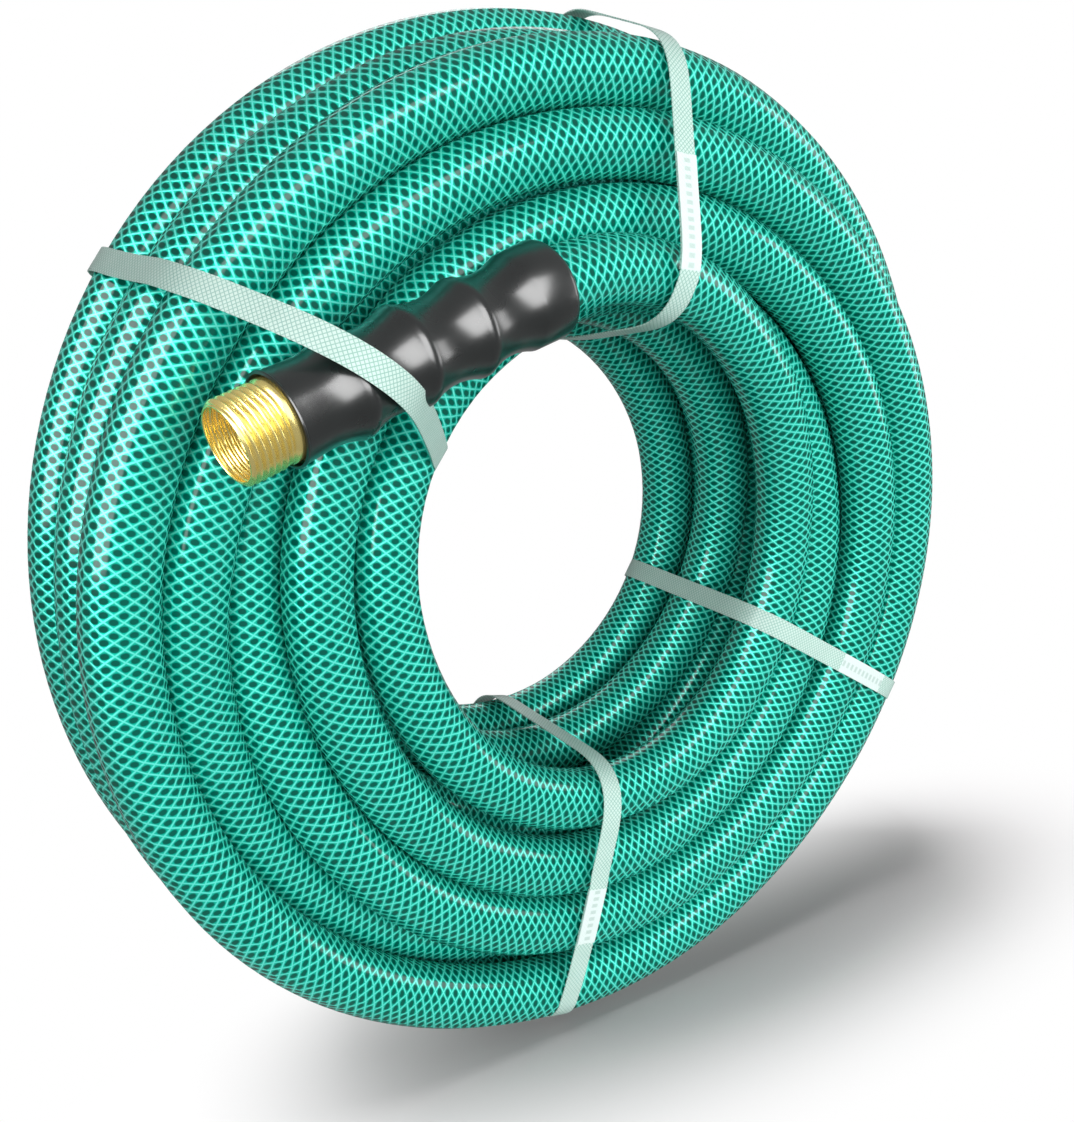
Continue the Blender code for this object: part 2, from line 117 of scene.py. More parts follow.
class Socket:
    # wraps one output so that sums on it become Math nodes
    def __init__(self, kit, output):
        self.kit = kit
        self.output = output

    def joined(self, operation, first, second):
        return self.kit.node("ShaderNodeMath", {"operation": operation}, {0: first, 1: second})

    def __add__(self, other):
        return self.joined("ADD", self, other)

    def __radd__(self, other):
        return self.joined("ADD", other, self)

    def __sub__(self, other):
        return self.joined("SUBTRACT", self, other)

    def __rsub__(self, other):
        return self.joined("SUBTRACT", other, self)

    def __mul__(self, other):
        return self.joined("MULTIPLY", self, other)

    def __rmul__(self, other):
        return self.joined("MULTIPLY", other, self)


class Finish:
    # one material and the nodes in it
    def __init__(self, name, **fixed):
        self.material = bpy.data.materials.new(name)
        self.material.use_nodes = True
        self.tree = self.material.node_tree
        self.shader = self.tree.nodes["Principled BSDF"]
        for label, value in fixed.items():
            self.shader.inputs[label.replace("_", " ")].default_value = value

    def node(self, kind, settings=None, sockets=None, out=0):
        made = self.tree.nodes.new(kind)
        for label, value in (settings or {}).items():
            setattr(made, label, value)
        for label, value in (sockets or {}).items():
            self.feed(made.inputs[label], value)
        return Socket(self, made.outputs[out])

    def feed(self, target, value):
        if isinstance(value, Socket):
            self.tree.links.new(value.output, target)
        elif isinstance(value, tuple) and len(value) == 3 and target.type == "RGBA":
            target.default_value = (*value, 1.0)
        else:
            target.default_value = value

    def set(self, label, value):
        self.feed(self.shader.inputs[label], value)

    def step(self, value, low, high, start=0.0, end=1.0):
        return self.node(
            "ShaderNodeMapRange", {"interpolation_type": "SMOOTHSTEP"},
            {"Value": value, "From Min": low, "From Max": high, "To Min": start, "To Max": end},
        )

    def blend(self, share, first, second):
        return self.node(
            "ShaderNodeMix", {"data_type": "RGBA"}, {0: share, 6: first, 7: second}, out=2
        )

    def noise(self, where, scale, detail, rough=0.5):
        return self.node(
            "ShaderNodeTexNoise", {},
            {"Vector": where, "Scale": scale, "Detail": detail, "Roughness": rough},
        )

    def bump(self, height, distance, strength):
        return self.node(
            "ShaderNodeBump", {}, {"Height": height, "Distance": distance, "Strength": strength}
        )

    def place(self, label):
        return self.node("ShaderNodeTexCoord", out={"UV": 2, "Object": 3}[label])

    def part(self, vector, axis):
        return self.node("ShaderNodeSeparateXYZ", {}, {0: vector}, out="xyz".index(axis))

    def zigzag(self, value):
        # rises from 0 to 0.5 and falls again over each whole step of the value
        return self.node("ShaderNodeMath", {"operation": "PINGPONG"}, {0: value, 1: 0.5})

    def smaller(self, first, second):
        return self.node("ShaderNodeMath", {"operation": "MINIMUM"}, {0: first, 1: second})

    def larger(self, first, second):
        return self.node("ShaderNodeMath", {"operation": "MAXIMUM"}, {0: first, 1: second})


# Turns run clockwise from the male end, seen from the front. Each station is
# (quarter turns from the top, radius, depth behind the front layer), the last two
# in hose diameters. The seen turns are placed one by one, the hidden ones loosely.
hoseLook = {
    "diameter": 0.0254,
    "length": 15.24,  # 50 ft
    "coilCentre": Vector((0.0, -0.0518, 0.2040)),
    "stationsSeen": (
        (-0.283, 4.806, -0.925), (-0.19, 4.62, -0.85), (0.0, 4.30, -0.66), (0.25, 4.14, -0.45),
        (0.5, 3.98, -0.2), (0.75, 3.78, 0.1), (1.0, 3.66, 0.25), (1.25, 3.72, 0.15),
        (1.5, 3.88, 0.0), (2.0, 4.10, 0.0), (2.5, 3.80, 0.0), (2.75, 3.72, 0.0), (3.0, 3.86, 0.0),
        (3.15, 4.06, 0.05), (3.3, 4.31, 0.15), (3.5, 4.53, 0.25), (4.0, 4.42, 0.45),
        (4.5, 4.52, 0.45), (5.0, 4.72, 0.4), (5.5, 5.00, 0.1), (6.0, 5.36, 0.0),
        (6.5, 4.94, 0.0), (7.0, 5.06, 0.0), (7.5, 5.20, 0.1), (8.0, 5.34, 0.0), (8.5, 5.50, 0.0),
        (9.0, 5.85, 0.0), (9.5, 6.10, 0.0), (10.0, 6.45, 0.0), (10.5, 5.87, 0.0), (11.0, 5.92, 0.5),
        (11.5, 5.90, 0.7), (12.0, 5.85, 0.75), (12.5, 6.10, 0.9), (13.0, 6.35, 0.95),
        (13.5, 6.50, 0.95), (14.0, 6.85, 0.9), (14.5, 6.68, 0.5), (15.0, 6.72, 0.15),
        (15.5, 6.50, 0.05), (16.0, 6.32, 0.0), (16.5, 6.50, 0.0), (17.0, 6.93, 0.05),
        (17.5, 7.10, 0.05), (18.0, 7.45, 0.0), (18.5, 7.40, 0.0), (19.0, 7.55, 0.0),
        (19.5, 7.35, 0.0), (20.0, 7.20, 0.0), (20.5, 7.15, 0.5), (21.0, 7.25, 0.95),
    ),
    "stationsRim": ((22.0, 7.50, 1.05), (23.0, 7.70, 1.05), (24.0, 7.60, 1.1)),
    "stationsHidden": (
        (32.5, 4.10, 1.6), (33.0, 3.68, 1.85), (33.5, 3.80, 2.0), (34.0, 4.10, 2.1),
        (45.0, 7.40, 2.1), (46.0, 7.46, 2.1), (47.0, 7.66, 2.1), (49.0, 7.72, 2.2),
        (50.0, 7.44, 3.1), (56.3, 4.90, 3.25), (57.0, 4.62, 3.3), (57.7, 4.70, 3.2),
        (58.5, 4.82, 2.9), (59.15, 4.84, 2.65), (59.7, 4.45, 2.9), (60.2, 3.98, 3.2),
        (60.6, 3.72, 3.3), (61.0, 3.64, 3.25), (61.5, 3.74, 3.2), (62.0, 3.95, 3.25),
        (62.5, 4.20, 3.4), (63.256, 4.30, 3.9),
    ),
    # how firmly the turns keep to their stations: 1 holds, 0 lets them drift
    "holdSeen": 1.0,
    "holdRim": 0.6,
    "holdHidden": 0.05,
    "holdBetween": (
        # from and to, in quarter turns, and the hold there
        (59.8, 62.3, 0.7), (56.2, 57.8, 0.5), (32.4, 33.7, 0.5), (11.3, 14.2, 0.1), (3.4, 4.7, 0.3),
    ),
    # how the turns settle, with distances in hose diameters
    "settleSteps": 36,  # points to a turn
    "settleRounds": 400,
    "stationRounds": 6,
    "stationEase": 0.25,
    "turnEase": 0.12,
    "pullBack": 0.06,  # share of the way back to its station in each round
    "apart": 1.005,  # how far apart two turns settle
    "leastHold": 0.05,  # added to each hold when two turns share a push
    "overFloor": 0.53,
    "floorFacing": 0.2,  # how far a turn points down before the floor stops it
    "fromGrip": 0.51,
    "pastTail": 0.15,  # how far along a grip the turns start to keep clear of it
    "freeEnd": 0.25,  # quarter turns at the hose's end that don't
    "outerLimit": 7.92,
    "deepest": 3.3,
    # the path drawn from the settled turns
    "fineSteps": 5,  # points between two settled ones
    "smoothing": 21,  # width of the smoothing, in these finer points
    "straightEnd": 0.004,
    "bendOver": 0.130,  # how much of each end bends freely from the coil to its grip
    "bendPoints": 60,
    "endEase": 1.3,
    "ringSpacing": 0.0075,
}
gripShape = {
    "length": 0.1060,
    "ridgeRadius": 0.0174,
    "waistRadius": 0.0146,
    "rimRadius": 0.0152,
    "ridges": 5,
    "ridgePitch": 0.0240,
    "bead": 0.035,  # half the bead on each crest, as a share of the pitch
    "valleySteps": 18,
    "tailReach": 0.0035,  # how far the sleeve runs back along the hose
    "hoseBore": 0.0130,
    "endBore": 0.0140,  # radius round the brass end
    "boreStep": 0.0670,  # where the wider bore starts
    "steps": 72,
    "edgeAngle": math.radians(50),
}
endPlaces = {
    "male": (Vector((-0.0525, -0.0753, 0.3142)), Vector((-0.944, -0.144, -0.320)).normalized()),
    "female": (Vector((-0.1006, 0.0474, 0.2467)), Vector((0.400, 0.196, 0.896)).normalized()),
}


def stationHold(quarter, seenEnd, rimEnd):
    look = hoseLook
    hold = np.where(quarter < rimEnd, look["holdRim"], look["holdHidden"])
    hold = np.where(quarter < seenEnd, look["holdSeen"], hold)
    hold[quarter > quarter[-1] - 1] = look["holdSeen"]
    for low, high, firmness in look["holdBetween"]:
        hold[(quarter > low) & (quarter < high)] = firmness
    return hold


def settledTurns():
    # radius and depth at every ninth of a quarter turn, in hose diameters, with
    # crossing turns pushed apart and the seen ones held near their stations
    look = hoseLook
    stations = np.array(look["stationsSeen"] + look["stationsRim"] + look["stationsHidden"])
    perTurn = look["settleSteps"]
    first, last = stations[0, 0], stations[-1, 0]
    seenEnd, rimEnd = look["stationsSeen"][-1][0], look["stationsRim"][-1][0]
    count = int(round((last - first) * perTurn / 4)) + 1
    quarter = np.linspace(first, last, count)
    wanted = np.stack([np.interp(quarter, stations[:, 0], stations[:, k]) for k in (1, 2)], 1)
    for _ in range(look["stationRounds"]):
        wanted[1:-1] += look["stationEase"] * (wanted[:-2] + wanted[2:] - 2 * wanted[1:-1])
    turns = wanted.copy()
    hold = stationHold(quarter, seenEnd, rimEnd)
    angle = np.radians(90 - 90 * quarter)
    around = np.stack([np.cos(angle), np.sin(angle)], 1)
    floorRadius = look["coilCentre"].z / look["diameter"] - look["overFloor"]
    # the floor can only be reached where a turn points down
    down = np.maximum(-around[:, 1], look["floorFacing"])
    floorLimit = np.where(-around[:, 1] > look["floorFacing"], floorRadius / down, np.inf)
    gripReach = gripShape["ridgeRadius"] / look["diameter"] + look["fromGrip"]
    ends = []
    for tail, forward in endPlaces.values():
        ends.append((np.array((tail - look["coilCentre"]) / look["diameter"]), np.array(forward)))
    gripLength = gripShape["length"] / look["diameter"]
    for _ in range(look["settleRounds"]):
        move = np.zeros_like(turns)
        for lap in range(1, count // perTurn + 1):
            skip = perTurn * lap
            inner, outer = turns[:-skip], turns[skip:]
            apart = outer - inner
            gap = np.linalg.norm(apart, axis=1) + 1e-9
            push = np.clip(look["apart"] - gap, 0, None)[:, None] * apart / gap[:, None] * 0.5
            # the turn that is held less gives way more
            easeInner, easeOuter = (1 / (part + look["leastHold"]) for part in (hold[:-skip], hold[skip:]))
            share = (easeInner / (easeInner + easeOuter))[:, None]
            move[:-skip] -= push * share
            move[skip:] += push * (1 - share)
        turns += move
        spots = np.stack([turns[:, 0] * around[:, 0], turns[:, 1], turns[:, 0] * around[:, 1]], 1)
        for tail, forward in ends:
            along = (spots - tail) @ forward
            away = spots - tail - np.clip(along, 0, gripLength)[:, None] * forward
            far = np.linalg.norm(away, axis=1)
            near = (far < gripReach) & (along > look["pastTail"])
            near &= (quarter > 0) & (quarter < last - look["freeEnd"])
            shift = away[near] * ((gripReach - far[near]) / far[near])[:, None]
            turns[near, 1] += shift[:, 1]
            turns[near, 0] += (shift[:, [0, 2]] * around[near]).sum(1)
        turns += (wanted - turns) * (look["pullBack"] * hold)[:, None]
        turns[:, 0] = np.minimum(turns[:, 0], np.minimum(floorLimit, look["outerLimit"]))
        turns[:, 1] = np.where(quarter > rimEnd, np.minimum(turns[:, 1], look["deepest"]), turns[:, 1])
        turns[1:-1] += look["turnEase"] * (turns[:-2] + turns[2:] - 2 * turns[1:-1])
        turns[0], turns[-1] = wanted[0], wanted[-1]
    return quarter, turns


def pathLengths(path):
    return np.concatenate([[0], np.cumsum(np.linalg.norm(np.diff(path, axis=0), axis=1))])


def softKernel(width):
    kernel = np.hanning(width)[1:-1]
    return kernel / kernel.sum()


def hosePath():
    # centreline in metres, evenly spaced, running straight into each grip's tail
    look = hoseLook
    quarter, turns = settledTurns()
    fine = np.linspace(quarter[0], quarter[-1], (len(quarter) - 1) * look["fineSteps"] + 1)
    radius, depth = (np.interp(fine, quarter, turns[:, k]) for k in (0, 1))
    kernel = softKernel(look["smoothing"])
    radius, depth = (
        np.convolve(np.pad(row, len(kernel) // 2, mode="edge"), kernel, mode="valid")
        for row in (radius, depth)
    )
    angle = np.radians(90 - 90 * fine)
    size = look["diameter"]
    centre = np.array(look["coilCentre"])
    path = np.stack([radius * np.cos(angle), depth, radius * np.sin(angle)], 1) * size + centre
    for name in ("male", "female"):
        # the second round works on the path turned end for end, and turns it back
        tail, forward = (np.array(part) for part in endPlaces[name])
        joint = int(np.searchsorted(pathLengths(path), look["bendOver"]))
        heading = path[joint + 2] - path[joint - 2]
        start = tail - forward * look["straightEnd"]
        reach = np.linalg.norm(path[joint] - start)
        heading *= reach / np.linalg.norm(heading)
        share = np.linspace(0, 1, look["bendPoints"])[:, None]
        leaving = -forward * reach * look["endEase"]
        # a cubic that leaves the grip straight and joins the coil in its direction
        curve = (2 * share**3 - 3 * share**2 + 1) * start
        curve += (share**3 - 2 * share**2 + share) * leaving
        curve += (3 * share**2 - 2 * share**3) * path[joint] + (share**3 - share**2) * heading
        path = np.concatenate([tail[None], curve, path[joint + 1:]])[::-1]
    lengths = pathLengths(path)
    count = int(lengths[-1] / look["ringSpacing"])
    even = np.linspace(0, lengths[-1], count)
    path = np.stack([np.interp(even, lengths, path[:, k]) for k in range(3)], 1)
    path[:, 2] = np.maximum(path[:, 2], size / 2)
    return path, float(lengths[-1])


# Colours come in pairs that a slow noise blends. Edges are where a step starts and
# ends: from the yarn's middle, or from the middle of a cell, in yarn spacings.
vinylLook = {
    "yarns": 13,
    "yarnPitch": 0.0042,
    "yarnEdge": (0.035, 0.115),
    "glowEdge": (0.26, 0.46),
    "core": ((0.0, 0.058, 0.040), (0.0, 0.078, 0.054)),
    "halo": ((0.0, 0.38, 0.27), (0.002, 0.48, 0.35)),
    "thread": ((0.10, 0.72, 0.60), (0.14, 0.82, 0.70)),
    "sparkle": 0.5,  # how metallic the glow and the yarns are
    "smoothness": (0.46, 0.38),  # roughness between the yarns and on them
}


def vinylFinish(length):
    # pale crossing yarns in clear green vinyl, glowing beside each yarn and dark
    # where the deeper core shows between them
    look = vinylLook
    finish = Finish(
        "reinforcedVinyl", Specular_IOR_Level=0.0, Coat_Weight=0.66, Coat_Roughness=0.12, Coat_IOR=1.44,
    )
    run = finish.part(finish.place("UV"), "x") * (length / look["yarnPitch"])
    lap = finish.part(finish.place("UV"), "y") * float(look["yarns"])
    first, second = (finish.zigzag(phase) for phase in (run + lap, run - lap))
    near = finish.smaller(first, second)
    corner = finish.node("ShaderNodeCombineXYZ", {}, {0: 0.5 - first, 1: 0.5 - second})
    fromMiddle = finish.node("ShaderNodeVectorMath", {"operation": "LENGTH"}, {0: corner}, out=1)
    yarn = finish.step(near, *look["yarnEdge"], 1.0, 0.0)
    glow = finish.step(fromMiddle, *look["glowEdge"])
    cloud = finish.noise(finish.place("Object"), 9.0, 2.0)
    core, halo, thread = (finish.blend(cloud, *look[name]) for name in ("core", "halo", "thread"))
    finish.set("Base Color", finish.blend(yarn, finish.blend(glow, core, halo), thread))
    finish.set("Metallic", finish.step(glow + yarn, 0.0, 1.4, 0.0, look["sparkle"]))
    finish.set("Roughness", finish.step(yarn, 0.0, 1.0, *look["smoothness"]))
    finish.set("Normal", finish.bump(glow + yarn, 0.0002, 0.35))
    return finish.material


def makeHose():
    # drawn as a curve, because that gives the mesh its lengthwise UV
    path, length = hosePath()
    print("hose path", round(length, 3), "m,", len(path), "rings")
    line = bpy.data.curves.new("gardenHose", "CURVE")
    line.dimensions = "3D"
    line.bevel_depth = hoseLook["diameter"] / 2
    line.bevel_resolution = 4
    line.use_fill_caps = True
    spline = line.splines.new("POLY")
    spline.points.add(len(path) - 1)
    for spot, point in zip(spline.points, path):
        spot.co = (*point, 1.0)
    drawn = bpy.data.objects.new("hoseLine", line)
    stageScene.collection.objects.link(drawn)
    mesh = bpy.data.meshes.new_from_object(drawn.evaluated_get(bpy.context.evaluated_depsgraph_get()))
    bpy.data.objects.remove(drawn, do_unlink=True)
    mesh.name = "gardenHose"
    print("hose mesh", len(mesh.vertices), [layer.name for layer in mesh.uv_layers])
    return placeMesh("gardenHose", mesh, vinylFinish(length)), path


hose, hosePoints = makeHose()
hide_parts("hose_coil", "hose_male_lead", "hose_female_lead")
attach(hose, "hose")


def endMatrix(name):
    tail, forward = endPlaces[name]
    return Matrix.Translation(tail) @ forward.to_track_quat("Z", "Y").to_matrix().to_4x4()


def rubberFinish():
    finish = Finish("blackRubber", IOR=1.5, Coat_Weight=0.6, Coat_Roughness=0.22, Coat_IOR=1.55)
    spot = finish.place("Object")
    grain = finish.noise(spot, 900.0, 4.0, 0.6)
    cloud = finish.noise(spot, 60.0, 3.0)
    finish.set("Base Color", finish.blend(cloud, (0.0025, 0.0030, 0.0030), (0.0050, 0.0060, 0.0060)))
    finish.set("Roughness", finish.step(cloud, 0.3, 0.7, 0.26, 0.32))
    finish.set("Normal", finish.bump(grain, 0.0001, 0.15))
    return finish.material


blackRubber = rubberFinish()


def gripOutline():
    # closed (radius, height) loop: scallops with a narrow bead on each crest
    shape = gripShape
    ridge, waist, rim = shape["ridgeRadius"], shape["waistRadius"], shape["rimRadius"]
    pitch, length, bead = shape["ridgePitch"], shape["length"], shape["bead"]
    hoseBore, endBore, boreStep = shape["hoseBore"], shape["endBore"], shape["boreStep"]
    back = -shape["tailReach"]
    # the rounded back edge
    outline = [(hoseBore + 0.0004, back + 0.0003), (ridge - 0.0022, back)]
    outline += [(ridge - 0.0010, back + 0.0003), (ridge - 0.0003, back + 0.0010), (ridge, back + 0.0024)]
    first = length - (shape["ridges"] - 1) * pitch
    for valley in range(shape["ridges"] - 1):
        start = first + valley * pitch
        endRadius = rim if valley == shape["ridges"] - 2 else ridge
        for step in range(shape["valleySteps"] + 1):
            share = bead + (1 - 2 * bead) * step / shape["valleySteps"]
            top = ridge + (endRadius - ridge) * smoothStep(share)
            dip = (top - waist) * math.sin(math.pi * share) ** 0.8
            outline.append((top - dip, start + share * pitch))
    # the lip at the brass end, then the two bores
    outline += [(rim - 0.0001, length - 0.0009), (rim + 0.0003, length - 0.0005), (rim + 0.0002, length)]
    outline += [(rim - 0.0006, length + 0.0002), (endBore + 0.0003, length - 0.0002)]
    outline += [(endBore, length - 0.0010), (endBore, boreStep)]
    outline += [(hoseBore, boreStep - 0.0010), (hoseBore, back + 0.0010)]
    return outline


def makeGrip(name, nodeName):
    bm = spunShape(gripOutline(), gripShape["steps"])
    bmesh.ops.transform(bm, matrix=endMatrix(name), verts=bm.verts)
    mesh = meshFrom(bm, name + "GripSleeve")
    grip = placeMesh(mesh.name, mesh, blackRubber, gripShape["edgeAngle"])
    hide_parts(nodeName)
    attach(grip, "hose")
    return grip


maleGrip = makeGrip("male", "male_grip")
femaleGrip = makeGrip("female", "female_grip")
print("grips made")

threadShape = {
    "pitch": 0.0254 / 11.5,
    "majorRadius": 0.01345,
    "depth": 0.00115,
    "length": 0.0143,
    "fade": 0.0011,  # how far from its ends the thread reaches its full depth
    "ringsPerPitch": 10,
}


def brassFinish(name, colour, roughness):
    finish = Finish(name, Metallic=0.92)
    spot = finish.place("Object")
    cloud = finish.noise(spot, 90.0, 2.0)
    lines = finish.noise(spot, 1400.0, 2.0)
    dark = tuple(part * 0.93 for part in colour)
    finish.set("Base Color", finish.blend(cloud, dark, colour))
    finish.set("Roughness", finish.step(cloud, 0.3, 0.7, roughness - 0.02, roughness + 0.03))
    finish.set("Normal", finish.bump(lines, 0.00002, 0.05))
    return finish.material


rolledBrass = brassFinish("rolledBrass", (0.97, 0.80, 0.29), 0.24)


def threadRows(start, reverse=False):
    rings = round(threadShape["length"] / threadShape["pitch"] * threadShape["ringsPerPitch"])
    rows = [start + threadShape["length"] * ring / rings for ring in range(rings + 1)]
    return rows[::-1] if reverse else rows


def rollThread(bm, start, surfaces):
    # surfaces maps a plain radius to the way its crests go, 1 for out or -1 for in
    shape = threadShape
    for vert in bm.verts:
        radius = math.hypot(vert.co.x, vert.co.y)
        toEnd = min(vert.co.z - start, start + shape["length"] - vert.co.z)
        if toEnd < -1e-6:
            continue
        for plain, way in surfaces.items():
            if abs(radius - plain) < 0.0001:
                turns = vert.co.z / shape["pitch"] - math.atan2(vert.co.y, vert.co.x) / math.tau
                crest = (0.5 - 0.5 * math.cos(math.tau * turns)) ** 0.8
                lift = way * shape["depth"] * crest * smoothStep(toEnd / shape["fade"])
                vert.co.xy *= (radius + lift) / radius


couplingShape = {
    "neck": 0.0025,  # between the grip and the thread
    "wall": 0.0008,
    "flangeBack": 0.0042,  # how deep in the grip the flange starts
    "flangeRadius": 0.0137,
    "flangeThickness": 0.0016,
    "stemLength": 0.042,
    "stemRadius": 0.0083,
    "stemRootRadius": 0.0087,
    "seatRadius": 0.0105,
    "throatRadius": 0.0072,
    "steps": 96,
}


def makeMaleCoupling():
    shape = couplingShape
    start = gripShape["length"] + shape["neck"]
    mouth = start + threadShape["length"]
    major = threadShape["majorRadius"]
    root = major - threadShape["depth"]
    cup = root - shape["wall"]
    flange = gripShape["length"] - shape["flangeBack"]
    flangeTop = flange + shape["flangeThickness"]
    tip = flange - shape["stemLength"]
    throat = shape["throatRadius"]
    # up the outside, over the mouth and down the waterway
    outline = [(shape["stemRadius"], tip), (shape["stemRootRadius"], flange - 0.002)]
    outline += [(shape["flangeRadius"], flange), (shape["flangeRadius"], flangeTop)]
    outline += [(major - 0.0001, flangeTop + 0.0001), (major, start - 0.0016)]
    outline += [(major - 0.0002, start - 0.0010), (root + 0.0002, start - 0.0002)]
    outline += [(root, row) for row in threadRows(start)]
    outline += [(root - 0.0002, mouth + 0.0002), (cup + 0.0002, mouth + 0.0002)]
    outline += [(cup, row) for row in threadRows(start, reverse=True)]
    outline += [(cup, start - 0.0010), (shape["seatRadius"], start - 0.0022)]
    outline += [(throat + 0.0004, start - 0.0030), (throat, start - 0.0045), (throat, tip)]
    bm = spunShape(outline, shape["steps"])
    rollThread(bm, start, {root: 1, cup: 1})
    bmesh.ops.transform(bm, matrix=endMatrix("male"), verts=bm.verts)
    made = placeMesh("maleBrassEnd", meshFrom(bm, "maleBrassEnd"), rolledBrass)
    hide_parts("male_coupling")
    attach(made, "hose")
    return made


nutShape = {
    "radius": 0.0172,
    "flutes": 8,
    "fluteDepth": 0.0008,
    "standoff": 0.0012,
    "lip": 0.0022,
    "lipHole": 0.0106,
    "flangeTop": 0.0042,
    "washer": 0.0033,
    "edge": 0.0010,
    "edgeSteps": 4,
    "sideSteps": 8,
    "threadGap": 0.00015,
    "chamfer": 0.0006,
    "steps": 128,
}


def makeNut():
    shape = nutShape
    start = shape["flangeTop"] + shape["washer"]
    mouth = start + threadShape["length"]
    cavity = threadShape["majorRadius"] + shape["threadGap"]
    radius, edge = shape["radius"], shape["edge"]
    outline = [(shape["lipHole"], 0.0), (radius - edge, 0.0)]
    quarter = [math.pi / 2 * step / shape["edgeSteps"] for step in range(shape["edgeSteps"] + 1)]
    for turn in quarter:
        outline.append((radius - edge * (1 - math.sin(turn)), edge * (1 - math.cos(turn))))
    for step in range(1, shape["sideSteps"]):
        outline.append((radius, edge + (mouth - 2 * edge) * step / shape["sideSteps"]))
    for turn in quarter:
        outline.append((radius - edge * (1 - math.cos(turn)), mouth - edge * (1 - math.sin(turn))))
    outline += [(cavity + shape["chamfer"], mouth)]
    outline += [(cavity, row) for row in threadRows(start, reverse=True)]
    outline += [(cavity, shape["lip"]), (shape["lipHole"], shape["lip"])]
    bm = spunShape(outline, shape["steps"])
    # flutes that run out towards both rims
    for vert in bm.verts:
        out = math.hypot(vert.co.x, vert.co.y)
        if out > radius - 0.0002 and edge < vert.co.z < mouth - edge:
            turn = math.atan2(vert.co.y, vert.co.x)
            height = (vert.co.z - edge) / (mouth - 2 * edge)
            dip = shape["fluteDepth"] * (0.5 - 0.5 * math.cos(shape["flutes"] * turn)) ** 1.5
            vert.co.xy *= (out - dip * math.sin(math.pi * height) ** 0.4) / out
    rollThread(bm, start, {cavity: -1})
    lift = Matrix.Translation((0, 0, gripShape["length"] + shape["standoff"]))
    bmesh.ops.transform(bm, matrix=endMatrix("female") @ lift, verts=bm.verts)
    made = placeMesh("femaleSwivelNut", meshFrom(bm, "femaleSwivelNut"), rolledBrass)
    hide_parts("female_nut")
    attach(made, "swivel_nut")
    return made


maleCoupling = makeMaleCoupling()
swivelNut = makeNut()
print("brass ends made")

strapLook = {
    "width": 0.0090,
    "thickness": 0.0005,
    "overFloor": 0.0006,
    "clearance": 0.0002,
    "rimRadius": 0.205,  # where the angles below are taken, from the coil's axis
    "holeRadius": 0.095,
    "farSide": -0.06,  # beyond this, what crosses the plane is the coil's other side
    "turnSpots": 32,  # points round each crossing turn that the loop is drawn tight over
    "gripSpots": 48,
    "step": 0.0025,
    "easeSteps": 7,
    "bowDepth": 0.03,  # depth over which the sideways bow sets in
    "lapRise": 1.3,  # how far the overlap lies off the end under it, in thicknesses
    "lapSteps": 3,
}
# rim and hole: where each strap crosses the coil's outside and its hole, in degrees
# anticlockwise from the right; slack: how loosely it lies there, in metres; bow: how
# far its front half bends sideways; weld: where its overlap starts, measured from the
# hole, how long it is, and whether it is at the front
strapPlaces = {
    "strap_top_left": {
        "rim": 146, "hole": 147, "rimSlack": 0.003, "holeSlack": 0.0, "bow": -0.006,
        "weldFrom": 0.060, "weldLength": 0.030, "weldFront": False,
    },
    "strap_top_right": {
        "rim": 85.5, "hole": 88, "rimSlack": 0.0025, "holeSlack": 0.006, "bow": 0.0,
        "weldFrom": 0.021, "weldLength": 0.043, "weldFront": True,
    },
    "strap_lower_right": {
        "rim": -28, "hole": -25, "rimSlack": 0.002, "holeSlack": 0.002, "bow": 0.0,
        "weldFrom": 0.042, "weldLength": 0.036, "weldFront": True,
    },
    "strap_bottom": {
        "rim": -99, "hole": -95, "rimSlack": 0.0, "holeSlack": 0.004, "bow": 0.0,
        "weldFrom": 0.039, "weldLength": 0.028, "weldFront": True,
    },
}


# thin and thick: colours of the film between the ribs and on them
filmLook = {
    "diamonds": 560.0,  # to a metre
    "ribEdge": (0.04, 0.20),
    "thin": ((0.22, 0.40, 0.34), (0.28, 0.46, 0.40)),
    "thick": ((0.48, 0.64, 0.59), (0.56, 0.70, 0.65)),
    "sealed": (0.62, 0.72, 0.70),
    "mark": (0.44, 0.56, 0.53),
    "marks": 330.0,  # to a metre
    "markSide": (0.0010, 0.0018),
    "markEnd": (0.16, 0.30),
    "weldEdge": 0.0003,
}


def strapFinish():
    # pale film embossed with small diamonds; u above zero is the welded overlap,
    # which is smoother and has a row of seal marks down its middle
    look = filmLook
    finish = Finish("wovenStrap", Roughness=0.42, IOR=1.46, Coat_Weight=0.3, Coat_Roughness=0.2, Alpha=0.86)
    along, across = (finish.part(finish.place("UV"), axis) for axis in "xy")
    run, lap = along * look["diamonds"], across * look["diamonds"]
    rib = finish.step(finish.smaller(finish.zigzag(run + lap), finish.zigzag(run - lap)), *look["ribEdge"])
    cloud = finish.noise(finish.place("Object"), 140.0, 3.0)
    thin, thick = (finish.blend(cloud, *look[name]) for name in ("thin", "thick"))
    middle = finish.node(
        "ShaderNodeMath", {"operation": "ABSOLUTE"}, {0: across - strapLook["width"] / 2}
    )
    row = finish.zigzag(along * look["marks"])
    mark = finish.step(middle, *look["markSide"], 1.0, 0.0) * finish.step(row, *look["markEnd"])
    weld = finish.step(along, 0.0, look["weldEdge"])
    sealed = finish.blend(mark, look["sealed"], look["mark"])
    finish.set("Base Color", finish.blend(weld, finish.blend(rib, thin, thick), sealed))
    finish.set("Normal", finish.bump(rib, 0.00015, 0.5))
    return finish.material


wovenStrap = strapFinish()


